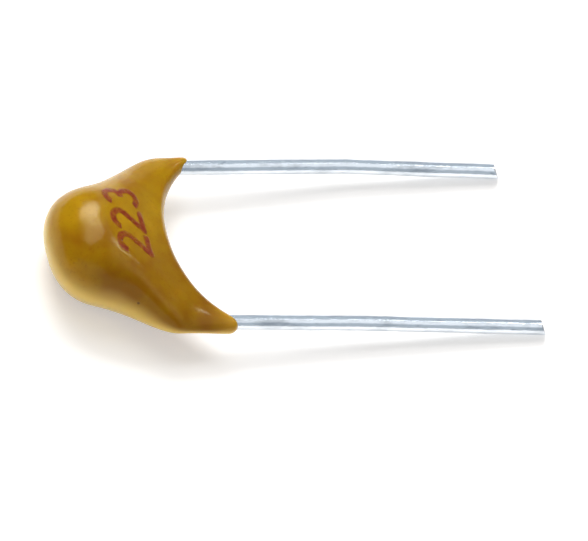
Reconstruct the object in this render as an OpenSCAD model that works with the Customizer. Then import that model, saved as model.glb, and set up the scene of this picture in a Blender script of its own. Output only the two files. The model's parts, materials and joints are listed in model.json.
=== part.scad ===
// Radial dipped multilayer ceramic capacitor, 5.08 mm pitch.
// It lies on its belly and its two lead tips, leads along +X, +Z up.

/* [Leads] */
// Distance between the two leads where they leave the coat
pitch = 5.08; // [4:0.02:8]
// Diameter of the lead wire
lead_d = 0.45; // [0.35:0.01:0.6]
// Bare length of each lead, from the coat to its tip
lead_len = 9.6; // [6:0.1:28]
// Angle at which the leads spread out inside the coat
spread_angle = 45; // [30:1:65]
// Centre-line radius of the bends inside the coat
bend_r = 0.5; // [0.3:0.01:0.7]
// Drift of the left lead before and after its kink, outward is positive
left_drift = [0.9, -1.8]; // [-4:0.1:4]
// Drift of the right lead before and after its kink, outward is positive
right_drift = [0.8, 1.7]; // [-4:0.1:4]
// Bare length before each lead's kink, left and right
kink_at = [4.8, 3.9]; // [1:0.1:5]
// Centre-line radius of the kinks
kink_r = 3; // [2:0.1:6]
// Slant of the cut at each lead's tip
cut_angle = 33; // [0:1:45]

/* [Chip] */
// Length of the chip from one end to the other, with its terminations
chip_len = 2; // [1.6:0.01:3.2]
// Width of the chip
chip_w = 1.25; // [0.8:0.01:1.6]
// Thickness of the chip
chip_t = 1.25; // [0.8:0.01:1.5]
// Wall of the end terminations
term_wall = 0.04; // [0.02:0.005:0.08]
// How far each termination reaches along the chip
term_band = 0.4; // [0.2:0.01:0.6]
// Metal layers in each electrode set
layers = 6; // [2:1:8]
// Thickness of one metal layer
layer_t = 0.03; // [0.02:0.001:0.04]
// Bare ceramic at the long sides of the layers
side_margin = 0.15; // [0.08:0.01:0.3]
// Bare ceramic between a layer's free end and the far termination
end_margin = 0.25; // [0.1:0.01:0.5]
// Bare ceramic above the top layer and below the bottom one
cover_margin = 0.16; // [0.08:0.01:0.25]

/* [Solder] */
// Solder between each termination and its lead
solder_gap = 0.03; // [0.01:0.005:0.1]
// Height of the solder where it wets the termination
solder_h = 0.8; // [0.6:0.01:1.1]
// Distance from the chip's near edge to the lead's first bend
chip_to_bend = 0.23; // [0.1:0.01:0.6]

/* [Coat] */
// Coat over the flat faces of the chip
face_cover = 0.62; // [0.45:0.005:0.9]
// Coat beside the leads, where they pass the chip
side_cover = 0.35; // [0.25:0.01:0.8]
// Coat beyond the chip's far edge
end_cover = 0.97; // [0.8:0.01:1.4]
// Coat above and below the bare-going leads
leg_film = 0.075; // [0.05:0.005:0.15]
// Coat outside the legs, left and right
leg_cover = [0.055, 0.11]; // [0.05:0.005:0.2]
// Covered straight stretch of each lead before it leaves the coat
leg_len = 0.95; // [0.7:0.01:2]
// Depth of the hollow edge between the legs
web_depth = 1.32; // [0.9:0.01:1.6]
// Radius of the rounded edge between the legs
web_edge_r = 0.28; // [0.2:0.01:0.35]
// Side shift of the hollow edge, towards the left lead
web_shift = 0.07; // [-0.2:0.01:0.2]
// Side shift of the lump, towards the right lead
lump_shift = 0.06; // [-0.15:0.01:0.15]
// Squareness of the lump's outline, 2 is an ellipse
lump_power = 2.6; // [2.2:0.1:3.5]
// Radius of the lump's rounded edge
lump_edge_r = 1.26; // [1:0.01:1.4]
// How far before the leads leave the coat its rounded edge begins to narrow towards them
slim_before = 2.2; // [1.6:0.01:2.6]
// How far before the leads leave the coat it has thinned to the legs' thickness
thin_before = 0.5; // [0.3:0.01:0.9]
// Length over which each leg's outer edge has left the lump, left and right
shoulder_gap = [0.88, 1.54]; // [0.5:0.01:1.8]
// Distance from the chip's middle back to where the legs' outer edges begin to leave the lump
shoulder_back = 0.31; // [0.2:0.01:0.5]
// Distance from the chip's middle back to the coat's crest
crest_back = 0.69; // [0.3:0.01:0.8]
// Distance from the chip's middle on to where the lump is widest
widest_ahead = 0.5; // [0.3:0.01:0.6]
// How far the coat creeps out along each lead, left and right
leg_creep = [0.08, 0.18]; // [0.03:0.01:0.3]
// Length over which the coat thins out at the end of each leg
leg_fade = 0.3; // [0.15:0.01:0.4]

/* [Hidden] */
LEFT = 0;
RIGHT = 1;

// leads: their centre lines lie in the plane z = 0, and x = 0 is where they leave the coat
lead_r = lead_d / 2;
beside_y = chip_len / 2 + solder_gap + lead_r;
bend_run = bend_r * tan(spread_angle / 2);
spread_x = leg_len + (pitch / 2 - beside_y) / tan(spread_angle);
lead_sides = 24;
lead_facet_r = 0.96 * lead_r;
bend_steps = 6;
joint_overlap = 0.1;

// chip
chip_x = -spread_x - bend_run - chip_to_bend - chip_w / 2;
lead_start_x = chip_x - chip_w / 2 + term_wall;
ceramic_len = chip_len - 2 * term_wall;
ceramic_w = chip_w - 2 * term_wall;
ceramic_t = chip_t - 2 * term_wall;
layer_len = ceramic_len - end_margin;
layer_w = ceramic_w - 2 * side_margin;
layer_step = (ceramic_t - 2 * cover_margin - layer_t) / (2 * layers - 1);

// coat
end_x = chip_x - chip_w / 2 - end_cover;
lump_hw = beside_y + lead_r + side_cover;
lump_x = chip_x + widest_ahead;
lump_run = lump_x - end_x;
crest_h = chip_t / 2 + face_cover;
crest_x = chip_x - crest_back;
leg_h = lead_r + leg_film;
leg_hw = [for (c = leg_cover) pitch / 2 + lead_r + c];
shoulder_x = chip_x - shoulder_back;
arc_end = 0.05;
arc_reach = web_depth + arc_end;
arc_r = (arc_reach * arc_reach + pitch * pitch / 4) / (2 * arc_reach);
arc_x = arc_r - web_depth;
slices = 60;
slice_steps = 24;

$fn = 64;

// A lead's way from beside the chip to just past its kink, as moves [chord, turn] of a walk in the plane z = 0.
function drift(side) = side == LEFT ? left_drift : right_drift;
function arc_moves(angle, radius) =
    let (turn = angle / bend_steps)
    [for (i = [1:bend_steps]) [abs(2 * radius * sin(turn / 2)), turn]];
function out_run(side) = leg_len - bend_run;
function kink_turn(side) = drift(side)[1] - drift(side)[0];
function kink_run(side) = kink_r * tan(abs(kink_turn(side)) / 2);
function slant_len(side) =
    let (d = drift(side)[0])
    (pitch / 2 - beside_y - bend_r * (1 + cos(d) - 2 * cos(spread_angle)) - out_run(side) * sin(d))
        / sin(spread_angle);
function covered_run(side) =
    let (d = drift(side)[0])
    bend_r * (2 * sin(spread_angle) - sin(d)) + slant_len(side) * cos(spread_angle) + out_run(side) * cos(d);
function lead_moves(side) = concat(
    [[-lead_start_x - covered_run(side), 0]],
    arc_moves(spread_angle, bend_r),
    [[slant_len(side), 0]],
    arc_moves(drift(side)[0] - spread_angle, bend_r),
    [[out_run(side) + kink_at[side] - kink_run(side), 0]],
    arc_moves(kink_turn(side), kink_r),
    [[2 * joint_overlap, 0]]);
function walk(pose, moves, done = 0) =
    done == len(moves) ? [pose] :
    let (length = moves[done][0])
    let (turn = moves[done][1])
    let (way = pose.z + turn / 2)
    concat([pose], walk([pose.x + length * cos(way), pose.y + length * sin(way), pose.z + turn], moves, done + 1));
function lead_poses(side) = walk([lead_start_x, beside_y, 0], lead_moves(side));

// smooth step from 0 to 1
function ease(t) = let (u = max(0, min(1, t))) u * u * (3 - 2 * u);

// 0 on the lump and 1 where the leg has left it
function shoulder(x, side) = ease((x - shoulder_x) / (-shoulder_gap[side] - shoulder_x));

// half of the coat's thickness away from its edges
function crown(x) = leg_h + (crest_h - leg_h) * (1 - ease((x - crest_x) / (-thin_before - crest_x)));

// How far into a rounded edge a place is: 0 where the edge has not begun, 1 on the outline
function outer_edge(x, y, side) =
    let (s = shoulder(x, side))
    let (across = abs(y + lump_shift * (1 - s)))
    let (half_w = lump_hw + (leg_hw[side] - lump_hw) * s)
    let (along = max(0, lump_x - x) / lump_run)
    let (reach = pow(pow(along, lump_power) + pow(across / half_w, lump_power), 1 / lump_power))
    let (slim = ease((x + slim_before) / (slim_before - lead_r)))
    let (edge_r = lump_edge_r * (1 - slim) + (leg_hw[side] - pitch / 2) * slim)
    max(0, 1 - (1 - reach) * half_w / edge_r);
function web_edge(x, y) = max(0, 1 - (norm([x - arc_x, y - web_shift]) - arc_r) / web_edge_r);
function leg_end(x, side) = max(0, 1 - (leg_creep[side] - x) / leg_fade);

// what is left of the crown's square at a place, below 0 outside the outline
function fullness(x, y) =
    let (side = y > 0 ? LEFT : RIGHT)
    1 - pow(outer_edge(x, y, side), 2) - pow(web_edge(x, y), 2) - pow(leg_end(x, side), 2);
function skin(x, y) = crown(x) * sqrt(max(0, fullness(x, y)));

// The coat is sliced by rays that fan out from the centre of the hollow edge, with angles counted from -X.
function on_ray(angle, reach) = [arc_x - reach * cos(angle), web_shift + reach * sin(angle)];
function ray_fullness(angle, reach) = let (p = on_ray(angle, reach)) fullness(p.x, p.y);

// where a ray crosses the fullest place, found by dropping a third of the stretch at a time
function ridge(angle, low = arc_r, high = ray_len, thirds = 24) =
    let (a = (2 * low + high) / 3)
    let (b = (low + 2 * high) / 3)
    thirds == 0 ? a :
    ray_fullness(angle, a) < ray_fullness(angle, b) ? ridge(angle, a, high, thirds - 1)
                                                    : ridge(angle, low, b, thirds - 1);

// where a ray crosses the outline, found by halving from a place inside to one outside
function crossing(angle, inside, outside, halvings = 22) =
    halvings == 0 ? inside :
    let (middle = (inside + outside) / 2)
    ray_fullness(angle, middle) > 0 ? crossing(angle, middle, outside, halvings - 1)
                                    : crossing(angle, inside, middle, halvings - 1);

// the ray that only just touches a leg's end
function end_angle(inside, outside, halvings = 22) =
    halvings == 0 ? inside :
    let (middle = (inside + outside) / 2)
    ray_fullness(middle, ridge(middle)) > 0 ? end_angle(middle, outside, halvings - 1)
                                            : end_angle(inside, middle, halvings - 1);
function leg_angle(y) = atan2(y - web_shift, arc_x + leg_len / 2);
in_hollow = arc_r - web_depth / 4;
ray_len = arc_x - end_x + web_depth;
fan_left = end_angle(leg_angle(pitch / 2), 90);
fan_right = end_angle(leg_angle(-pitch / 2), -90);
fan_middle = (fan_left + fan_right) / 2;
fan_half = (fan_left - fan_right) / 2 * 0.9999;

// one closed slice: over the top from the hollow edge to the outer one, and back below
function slice(angle) =
    let (core = ridge(angle))
    let (near = crossing(angle, core, in_hollow))
    let (far = crossing(angle, core, ray_len))
    let (places = [for (k = [0:slice_steps])
        on_ray(angle, near + (far - near) * (1 - cos(180 * k / slice_steps)) / 2)])
    concat(
        [for (k = [0:slice_steps])
            let (p = places[k])
            [p.x, p.y, k == 0 || k == slice_steps ? 0 : skin(p.x, p.y)]],
        [for (k = [slice_steps - 1:-1:1]) let (p = places[k]) [p.x, p.y, -skin(p.x, p.y)]]);

coat_slices = [for (i = [0:slices]) slice(fan_middle + fan_half * cos(180 * i / slices))];
ring = 2 * slice_steps;

// rest: the tilt at which the belly and the lead tips touch the same level
tip_x = lead_len + lead_r * tan(cut_angle);
belly = [for (s = coat_slices) for (p = s) if (p.z < -crest_h / 2) p];
function lowest_belly(tilt) = min([for (p = belly) p.z * cos(tilt) - p.x * sin(tilt)]);
function lowest_tip(tilt) = -lead_r * cos(tilt) - tip_x * sin(tilt);
function rest_tilt(low, high, halvings = 20) =
    let (middle = (low + high) / 2)
    halvings == 0 ? middle :
    lowest_tip(middle) > lowest_belly(middle) ? rest_tilt(middle, high, halvings - 1)
                                              : rest_tilt(low, middle, halvings - 1);
tilt = rest_tilt(0, 20);
centre_x = (end_x + tip_x) / 2 * cos(tilt);

// a solid through rings of equally many points, with the first and the last ring closed flat
module loft(points, spans, ring) {
    first = [for (k = [0:ring - 1]) k];
    last = [for (k = [ring - 1:-1:0]) spans * ring + k];
    sides = [for (i = [0:spans - 1]) for (k = [0:ring - 1])
        let (a = i * ring + k)
        let (b = i * ring + (k + 1) % ring)
        each [[a, b + ring, b], [a, a + ring, b + ring]]];
    polyhedron(points = points, faces = concat([first], sides, [last]));
}

module at_rest() {
    translate([-centre_x, 0, -lowest_tip(tilt)]) rotate([0, tilt, 0]) children();
}

// the right-hand pieces are the left-hand ones mirrored
module on_side(side) {
    mirror([0, side == RIGHT ? 1 : 0, 0]) children();
}

// a tube along a list of poses [x, y, heading] in the plane z = 0
module tube(poses) {
    points = [for (p = poses) for (k = [0:lead_sides - 1])
        let (turn = 360 * k / lead_sides)
        let (out = lead_facet_r * cos(turn))
        [p.x - out * sin(p.z), p.y + out * cos(p.z), lead_facet_r * sin(turn)]];
    loft(points, len(poses) - 1, lead_sides);
}

// a lead: the bent stretch as a tube, and the free stretch as a round bar cut off on the slant by pliers
module lead_wire(side) {
    poses = lead_poses(side);
    last = poses[len(poses) - 1];
    bar_len = lead_len - kink_at[side] - kink_run(side) - 2 * joint_overlap;
    on_side(side) {
        tube(poses);
        translate([last.x, last.y, 0]) rotate([0, 0, last.z])
            difference() {
                translate([-joint_overlap, 0, 0])
                    rotate([0, 90, 0]) cylinder(h = joint_overlap + bar_len + lead_d, r = lead_r);
                translate([bar_len, 0, 0]) rotate([0, -cut_angle, 0])
                    translate([0, -lead_d, -2 * lead_d]) cube([3 * lead_d, 2 * lead_d, 4 * lead_d]);
            }
    }
}

module lead(side) {
    color("silver") lead_wire(side);
}

module layer_stack(side) {
    on_side(side)
        for (i = [0:layers - 1])
            translate([
                chip_x - layer_w / 2,
                ceramic_len / 2 - layer_len,
                -ceramic_t / 2 + cover_margin + (2 * i + side) * layer_step
            ])
                cube([layer_w, layer_len, layer_t]);
}

module electrodes(side) {
    color("dimgray") layer_stack(side);
}

module ceramic_block() {
    translate([chip_x, 0, 0]) cube([ceramic_w, ceramic_len, ceramic_t], center = true);
}

module ceramic_body() {
    color([0.55, 0.42, 0.33])
        difference() {
            ceramic_block();
            layer_stack(LEFT);
            layer_stack(RIGHT);
        }
}

module cap_block(side) {
    on_side(side)
        translate([chip_x - chip_w / 2, chip_len / 2 - term_band, -chip_t / 2])
            cube([chip_w, term_band, chip_t]);
}

module termination(side) {
    color("gainsboro")
        difference() {
            cap_block(side);
            ceramic_block();
        }
}

// the joint's section: a hollow fillet from the termination to half-way round the lead
module solder_section() {
    steps = 6;
    reach = solder_gap + lead_r;
    thin_end = 0.9 * lead_r;
    fillet = [for (i = [0:steps]) let (t = i / steps)
        [reach * t, thin_end + (solder_h / 2 - thin_end) * pow(1 - t, 2)]];
    polygon(concat(fillet, [for (i = [steps:-1:0]) [fillet[i].x, -fillet[i].y]]));
}

module solder_block(side) {
    on_side(side)
        translate([lead_start_x, chip_len / 2, 0])
            rotate([90, 0, 90]) linear_extrude(chip_w - term_wall) solder_section();
}

module solder_joint(side) {
    color("darkgray")
        difference() {
            solder_block(side);
            lead_wire(side);
        }
}

module coat_shape() {
    loft([for (s = coat_slices) each s], slices, ring);
}

module epoxy_coat() {
    color([0.66, 0.5, 0.15])
        difference() {
            coat_shape();
            ceramic_block();
            for (side = [LEFT, RIGHT]) {
                cap_block(side);
                solder_block(side);
                lead_wire(side);
            }
        }
}

at_rest() epoxy_coat();
at_rest() lead(LEFT);  // left_lead
at_rest() lead(RIGHT);  // right_lead
at_rest() ceramic_body();
at_rest() electrodes(LEFT);  // left_electrodes
at_rest() electrodes(RIGHT);  // right_electrodes
at_rest() termination(LEFT);  // left_termination
at_rest() termination(RIGHT);  // right_termination
at_rest() solder_joint(LEFT);  // left_solder_joint
at_rest() solder_joint(RIGHT);  // right_solder_joint
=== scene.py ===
"""A dipped ceramic capacitor: its amber epoxy coat, tinned leads and layered chip, dressed for a studio shot.

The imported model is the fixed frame. The coat and the leads are modelled again here as fine meshes from the
same sizes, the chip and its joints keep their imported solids, and every piece gets a finish of its own.
"""

from __future__ import annotations

import json
import logging
import math
from dataclasses import dataclass, field
from enum import Enum
from typing import Callable, Iterable, Sequence, Union

import bmesh
import bpy
from mathutils import Matrix, Vector, noise

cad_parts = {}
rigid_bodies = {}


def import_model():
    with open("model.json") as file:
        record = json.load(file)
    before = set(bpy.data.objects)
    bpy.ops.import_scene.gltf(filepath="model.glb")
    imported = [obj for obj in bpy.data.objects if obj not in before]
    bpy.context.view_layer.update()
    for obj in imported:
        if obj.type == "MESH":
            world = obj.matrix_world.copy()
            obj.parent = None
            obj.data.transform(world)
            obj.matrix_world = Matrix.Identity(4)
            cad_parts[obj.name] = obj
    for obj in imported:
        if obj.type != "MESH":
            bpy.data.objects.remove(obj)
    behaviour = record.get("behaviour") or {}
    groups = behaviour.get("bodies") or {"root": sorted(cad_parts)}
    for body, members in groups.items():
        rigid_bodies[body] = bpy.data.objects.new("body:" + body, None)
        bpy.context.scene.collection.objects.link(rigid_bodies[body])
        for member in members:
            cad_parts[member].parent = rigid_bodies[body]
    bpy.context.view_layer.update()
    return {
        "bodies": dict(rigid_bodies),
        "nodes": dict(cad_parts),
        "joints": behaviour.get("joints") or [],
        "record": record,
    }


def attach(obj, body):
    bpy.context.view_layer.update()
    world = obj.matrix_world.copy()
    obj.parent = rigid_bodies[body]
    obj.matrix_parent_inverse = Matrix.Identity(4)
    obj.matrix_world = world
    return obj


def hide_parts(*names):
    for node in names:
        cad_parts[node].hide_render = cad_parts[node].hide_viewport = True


log = logging.getLogger("capacitor")

BODY = "root"

# A millimetre, in metres.
MM = 0.001
# Vertices nearer than this, in millimetres, are one; nearer than this they are welded; and nearer than this
# to a cut they lie on it.
SAME = 1e-5
WELD = 2e-4
ON_CUT = 1e-6
# How often a search drops a third of its stretch, and how often one drops half of it.
THIRDS = 28
HALVINGS = 26

Socket = bpy.types.NodeSocket
Value = Union[float, Sequence[float], Socket]
Point = tuple[float, float]
Triple = tuple[float, float, float]
Colour = tuple[float, float, float, float]


class Side(Enum):
    """The two sides of the part, named as seen from the lump towards the tips."""

    LEFT = 1
    RIGHT = -1

    @property
    def node(self) -> str:
        """The start of the names of this side's pieces."""
        return self.name.lower()


class Light(Enum):
    """The kinds of ray that see the studio as a plain pale background."""

    CAMERA = "Is Camera Ray"
    GLOSSY = "Is Glossy Ray"
    TRANSMISSION = "Is Transmission Ray"


def srgb(red: int, green: int, blue: int) -> Colour:
    """Turns a colour as seen on a screen into the one that a shader takes.

    Args:
        red: Red, from 0 to 255.
        green: Green, from 0 to 255.
        blue: Blue, from 0 to 255.

    Returns:
        The linear colour, with an alpha of 1.
    """
    def linear(level: int) -> float:
        """One of the three levels, from 0 to 1."""
        share = level / 255
        return share / 12.92 if share <= 0.04045 else ((share + 0.055) / 1.055) ** 2.4

    return linear(red), linear(green), linear(blue), 1.0


def ease(share: float) -> float:
    """A smooth step: 0 up to 0, 1 from 1 on."""
    held = min(1.0, max(0.0, share))
    return held * held * (3 - 2 * held)


# ------------------------------------------------------------
# Sizes, in millimetres, in the frame in which the leads' centre lines lie in the plane z = 0 and leave the
# coat at x = 0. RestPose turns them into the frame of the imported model.


@dataclass(frozen=True)
class LeadSizes:
    """The sizes of the two leads.

    Attributes:
        pitch: Distance between the leads where they leave the coat.
        diameter: Diameter of the wire.
        length: Bare length of each lead.
        spread: Angle at which the leads spread out inside the coat, in degrees.
        bend_r: Centre-line radius of the bends inside the coat.
        covered: Straight stretch inside the coat before the lead leaves it.
        drift: Heading of each lead before and after its kink, in degrees, outward is positive.
        kink_at: Bare length before each lead's kink.
        kink_r: Centre-line radius of the kinks.
        cut: Slant of the cut at each tip, in degrees.
    """

    pitch: float = 5.08
    diameter: float = 0.45
    length: float = 9.6
    spread: float = 45.0
    bend_r: float = 0.5
    covered: float = 0.95
    drift: dict[Side, tuple[float, float]] = field(
        default_factory=lambda: {Side.LEFT: (0.9, -1.8), Side.RIGHT: (0.8, 1.7)})
    kink_at: dict[Side, float] = field(default_factory=lambda: {Side.LEFT: 4.8, Side.RIGHT: 3.9})
    kink_r: float = 3.0
    cut: float = 33.0

    @property
    def radius(self) -> float:
        """Radius of the wire."""
        return self.diameter / 2

    @property
    def tip_x(self) -> float:
        """How far the lowest edge of a cut tip reaches."""
        return self.length + self.radius * math.tan(math.radians(self.cut))


@dataclass(frozen=True)
class ChipSizes:
    """The sizes of the chip that the coat and the leads are set out from.

    Attributes:
        length: Length over the terminations.
        width: Width.
        thickness: Thickness.
        wall: Wall of the terminations.
        solder: Solder between a termination and its lead.
        to_bend: Distance from the chip's near edge to the lead's first bend.
    """

    length: float = 2.0
    width: float = 1.25
    thickness: float = 1.25
    wall: float = 0.04
    solder: float = 0.03
    to_bend: float = 0.23

    def lead_y(self, leads: LeadSizes) -> float:
        """Distance of a lead's centre line from the middle, beside the chip."""
        return self.length / 2 + self.solder + leads.radius

    def middle_x(self, leads: LeadSizes) -> float:
        """Works out where the chip's middle lies along the part.

        Args:
            leads: The leads' sizes.

        Returns:
            Its place along X.
        """
        spread = math.radians(leads.spread)
        slant = leads.covered + (leads.pitch / 2 - self.lead_y(leads)) / math.tan(spread)
        return -slant - leads.bend_r * math.tan(spread / 2) - self.to_bend - self.width / 2

    def lead_start_x(self, leads: LeadSizes) -> float:
        """Where a lead starts, beside the chip's far edge."""
        return self.middle_x(leads) - self.width / 2 + self.wall


@dataclass(frozen=True)
class RestPose:
    """How the part lies: on the belly of its lump and on its two cut tips.

    Attributes:
        tilt: Droop of the leads, in degrees.
        centre_x: How far the middle of the part is moved to the origin.
        lift: How far the part is raised on to the surface.
    """

    tilt: float
    centre_x: float
    lift: float

    @classmethod
    def of(cls, record: dict, leads: LeadSizes, far_x: float) -> RestPose:
        """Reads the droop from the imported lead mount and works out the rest.

        Args:
            record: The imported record.
            leads: The leads' sizes.
            far_x: The coat's far end.

        Returns:
            The pose at rest.
        """
        axis = next(m["axis"] for m in record["mounts"] if m["name"] == "left_lead_tip")
        tilt = math.atan2(-axis[2], axis[0])
        centre_x = (far_x + leads.tip_x) / 2 * math.cos(tilt)
        lift = leads.radius * math.cos(tilt) + leads.tip_x * math.sin(tilt)
        return cls(math.degrees(tilt), centre_x, lift)

    @property
    def matrix(self) -> Matrix:
        """The way from the sizes' frame, in millimetres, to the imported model's, in metres.

        Returns:
            The matrix.
        """
        turn = Matrix.Rotation(math.radians(self.tilt), 4, "Y")
        move = Matrix.Translation((-self.centre_x, 0.0, self.lift))
        return Matrix.Scale(MM, 4) @ move @ turn


# ------------------------------------------------------------
# Meshes


class Piece:
    """A new piece of the visual model, made from a bmesh in millimetres."""

    def __init__(self, name: str, pose: RestPose) -> None:
        """Starts an empty piece.

        Args:
            name: The piece's name.
            pose: How the part lies.
        """
        self.name = name
        self.pose = pose
        self.bm = bmesh.new()

    def finish(self, materials: Sequence[bpy.types.Material]) -> bpy.types.Object:
        """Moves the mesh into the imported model's frame and makes an object of it.

        Args:
            materials: The finishes, in the order of the faces' material numbers.

        Returns:
            The object, at the origin.
        """
        bmesh.ops.transform(self.bm, matrix=self.pose.matrix, verts=self.bm.verts)
        for face in self.bm.faces:
            face.smooth = True
        mesh = bpy.data.meshes.new(self.name)
        self.bm.to_mesh(mesh)
        self.bm.free()
        for material in materials:
            mesh.materials.append(material)
        piece = bpy.data.objects.new(self.name, mesh)
        bpy.context.scene.collection.objects.link(piece)
        return piece


@dataclass(frozen=True)
class Coat:
    """The dipped epoxy coat: a lump over the chip, a web that thins towards the tips, and two legs.

    Attributes:
        leads: The leads' sizes.
        chip: The chip's sizes.
        face_cover: Coat over the flat faces of the chip.
        side_cover: Coat beside the leads, where they pass the chip.
        end_cover: Coat beyond the chip's far edge.
        leg_film: Coat above and below the leads in the legs.
        leg_cover: Coat outside each leg.
        web_depth: Depth of the hollow edge between the legs.
        web_edge_r: Radius of the rounded hollow edge.
        web_shift: Side shift of the hollow edge.
        lump_shift: Side shift of the lump, the other way.
        lump_power: Squareness of the lump's outline.
        lump_edge_r: Radius of the lump's rounded edge.
        shoulder_gap: Where each leg's outer edge has left the lump.
        shoulder_back: From the chip's middle back to where that edge begins to leave it.
        crest_back: From the chip's middle back to the crest.
        widest_ahead: From the chip's middle on to where the lump is widest.
        slim_before: How far before x = 0 the edge's rounding begins to narrow.
        thin_before: How far before x = 0 the coat has thinned to the legs' thickness.
        arc_end: Where the hollow edge's arc crosses the leads.
        leg_creep: How far the coat creeps out along each lead.
        leg_fade: Length over which it thins there.
        rays: Rows of the mesh, fanned round the hollow edge.
        steps: Faces of the mesh along each row.
        search_from: How near to the hollow edge's centre a ray is searched, in that edge's radii.
        search_to: How far out it is searched, in distances from that centre to the far end.
        swell: Height of the coat's soft unevenness.
        swell_pitch: Spacing of the soft unevenness.
        swell_fine: Height and spacing of a finer one on it, as a share of the soft one's.
    """

    leads: LeadSizes
    chip: ChipSizes
    face_cover: float = 0.62
    side_cover: float = 0.35
    end_cover: float = 0.97
    leg_film: float = 0.075
    leg_cover: dict[Side, float] = field(default_factory=lambda: {Side.LEFT: 0.055, Side.RIGHT: 0.11})
    web_depth: float = 1.32
    web_edge_r: float = 0.28
    web_shift: float = 0.07
    lump_shift: float = 0.06
    lump_power: float = 2.6
    lump_edge_r: float = 1.26
    shoulder_gap: dict[Side, float] = field(default_factory=lambda: {Side.LEFT: 0.88, Side.RIGHT: 1.54})
    shoulder_back: float = 0.31
    crest_back: float = 0.69
    widest_ahead: float = 0.5
    slim_before: float = 2.2
    thin_before: float = 0.5
    arc_end: float = 0.05
    leg_creep: dict[Side, float] = field(default_factory=lambda: {Side.LEFT: 0.08, Side.RIGHT: 0.18})
    leg_fade: float = 0.3
    rays: int = 132
    steps: int = 60
    search_from: float = 0.9
    search_to: float = 1.2
    swell: float = 0.012
    swell_pitch: float = 0.9
    swell_fine: float = 0.4

    @property
    def chip_x(self) -> float:
        """The chip's middle."""
        return self.chip.middle_x(self.leads)

    @property
    def far_x(self) -> float:
        """The far end of the lump."""
        return self.chip_x - self.chip.width / 2 - self.end_cover

    @property
    def lump_x(self) -> float:
        """Where the lump is widest."""
        return self.chip_x + self.widest_ahead

    @property
    def lump_half(self) -> float:
        """Half of the lump's width."""
        return self.chip.lead_y(self.leads) + self.leads.radius + self.side_cover

    @property
    def hollow_r(self) -> float:
        """Radius of the hollow edge between the legs."""
        reach = self.web_depth + self.arc_end
        return (reach ** 2 + self.leads.pitch ** 2 / 4) / (2 * reach)

    @property
    def hollow_x(self) -> float:
        """Centre of the hollow edge."""
        return self.hollow_r - self.web_depth

    @property
    def ray_end(self) -> float:
        """A reach at which every ray has left the coat."""
        return self.search_to * (self.hollow_x - self.far_x)

    def leg_half(self, side: Side) -> float:
        """Distance of a leg's outer edge from the middle."""
        return self.leads.pitch / 2 + self.leads.radius + self.leg_cover[side]

    def crown(self, x: float) -> float:
        """Gives half of the coat's thickness away from its edges.

        Args:
            x: The place along the part.

        Returns:
            The half thickness.
        """
        leg = self.leads.radius + self.leg_film
        crest = self.chip.thickness / 2 + self.face_cover
        crest_x = self.chip_x - self.crest_back
        return leg + (crest - leg) * (1 - ease((x - crest_x) / (-self.thin_before - crest_x)))

    def outer_edge(self, x: float, y: float) -> float:
        """Tells how far a place is into the rounded outer edge.

        Args:
            x: The place along the part.
            y: The place across it.

        Returns:
            0 before the rounding, 1 on the outline.
        """
        side = Side.LEFT if y > 0 else Side.RIGHT
        leg = self.leg_half(side)
        shoulder_x = self.chip_x - self.shoulder_back
        leaving = ease((x - shoulder_x) / (-self.shoulder_gap[side] - shoulder_x))
        half = self.lump_half + (leg - self.lump_half) * leaving
        across = abs(y + self.lump_shift * (1 - leaving)) / half
        along = max(0.0, self.lump_x - x) / (self.lump_x - self.far_x)
        power = self.lump_power
        reach = (along ** power + across ** power) ** (1 / power)
        slim = ease((x + self.slim_before) / (self.slim_before - self.leads.radius))
        edge_r = self.lump_edge_r * (1 - slim) + (leg - self.leads.pitch / 2) * slim
        return max(0.0, 1 - (1 - reach) * half / edge_r)

    def fullness(self, x: float, y: float) -> float:
        """Tells what is left of the crown's square at a place.

        Args:
            x: The place along the part.
            y: The place across it.

        Returns:
            1 away from the edges, below 0 outside the outline.
        """
        from_centre = math.hypot(x - self.hollow_x, y - self.web_shift)
        web = max(0.0, 1 - (from_centre - self.hollow_r) / self.web_edge_r)
        creep = self.leg_creep[Side.LEFT if y > 0 else Side.RIGHT]
        end = max(0.0, 1 - (creep - x) / self.leg_fade)
        return 1 - self.outer_edge(x, y) ** 2 - web ** 2 - end ** 2

    def on_ray(self, angle: float, reach: float) -> Point:
        """A place on a ray from the hollow edge's centre, its angle counted from -X."""
        return self.hollow_x - reach * math.cos(angle), self.web_shift + reach * math.sin(angle)

    def on_ray_fullness(self, angle: float, reach: float) -> float:
        """The fullness at a place on a ray."""
        return self.fullness(*self.on_ray(angle, reach))

    def ridge(self, angle: float) -> float:
        """Finds the coat's fullest place on a ray, by dropping a third of the stretch at a time.

        Args:
            angle: The ray's angle.

        Returns:
            The reach of that place.
        """
        low, high = self.hollow_r, self.ray_end
        for _ in range(THIRDS):
            first, second = (2 * low + high) / 3, (low + 2 * high) / 3
            if self.on_ray_fullness(angle, first) < self.on_ray_fullness(angle, second):
                low = first
            else:
                high = second
        return low

    @staticmethod
    def halve(inside: float, outside: float, holds: Callable[[float], bool]) -> float:
        """Finds where a test stops to hold between two values.

        Args:
            inside: A value at which it holds.
            outside: A value at which it doesn't.
            holds: The test.

        Returns:
            The last value at which it holds.
        """
        for _ in range(HALVINGS):
            middle = (inside + outside) / 2
            if holds(middle):
                inside = middle
            else:
                outside = middle
        return inside

    def end_angle(self, side: Side) -> float:
        """Finds the ray that only just touches a leg's end.

        Args:
            side: The leg's side.

        Returns:
            The ray's angle.
        """
        y = side.value * self.leads.pitch / 2 - self.web_shift
        inside = math.atan2(y, self.hollow_x + self.leads.covered / 2)
        return self.halve(inside, side.value * math.pi / 2,
                          lambda angle: self.on_ray_fullness(angle, self.ridge(angle)) > 0)

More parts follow.
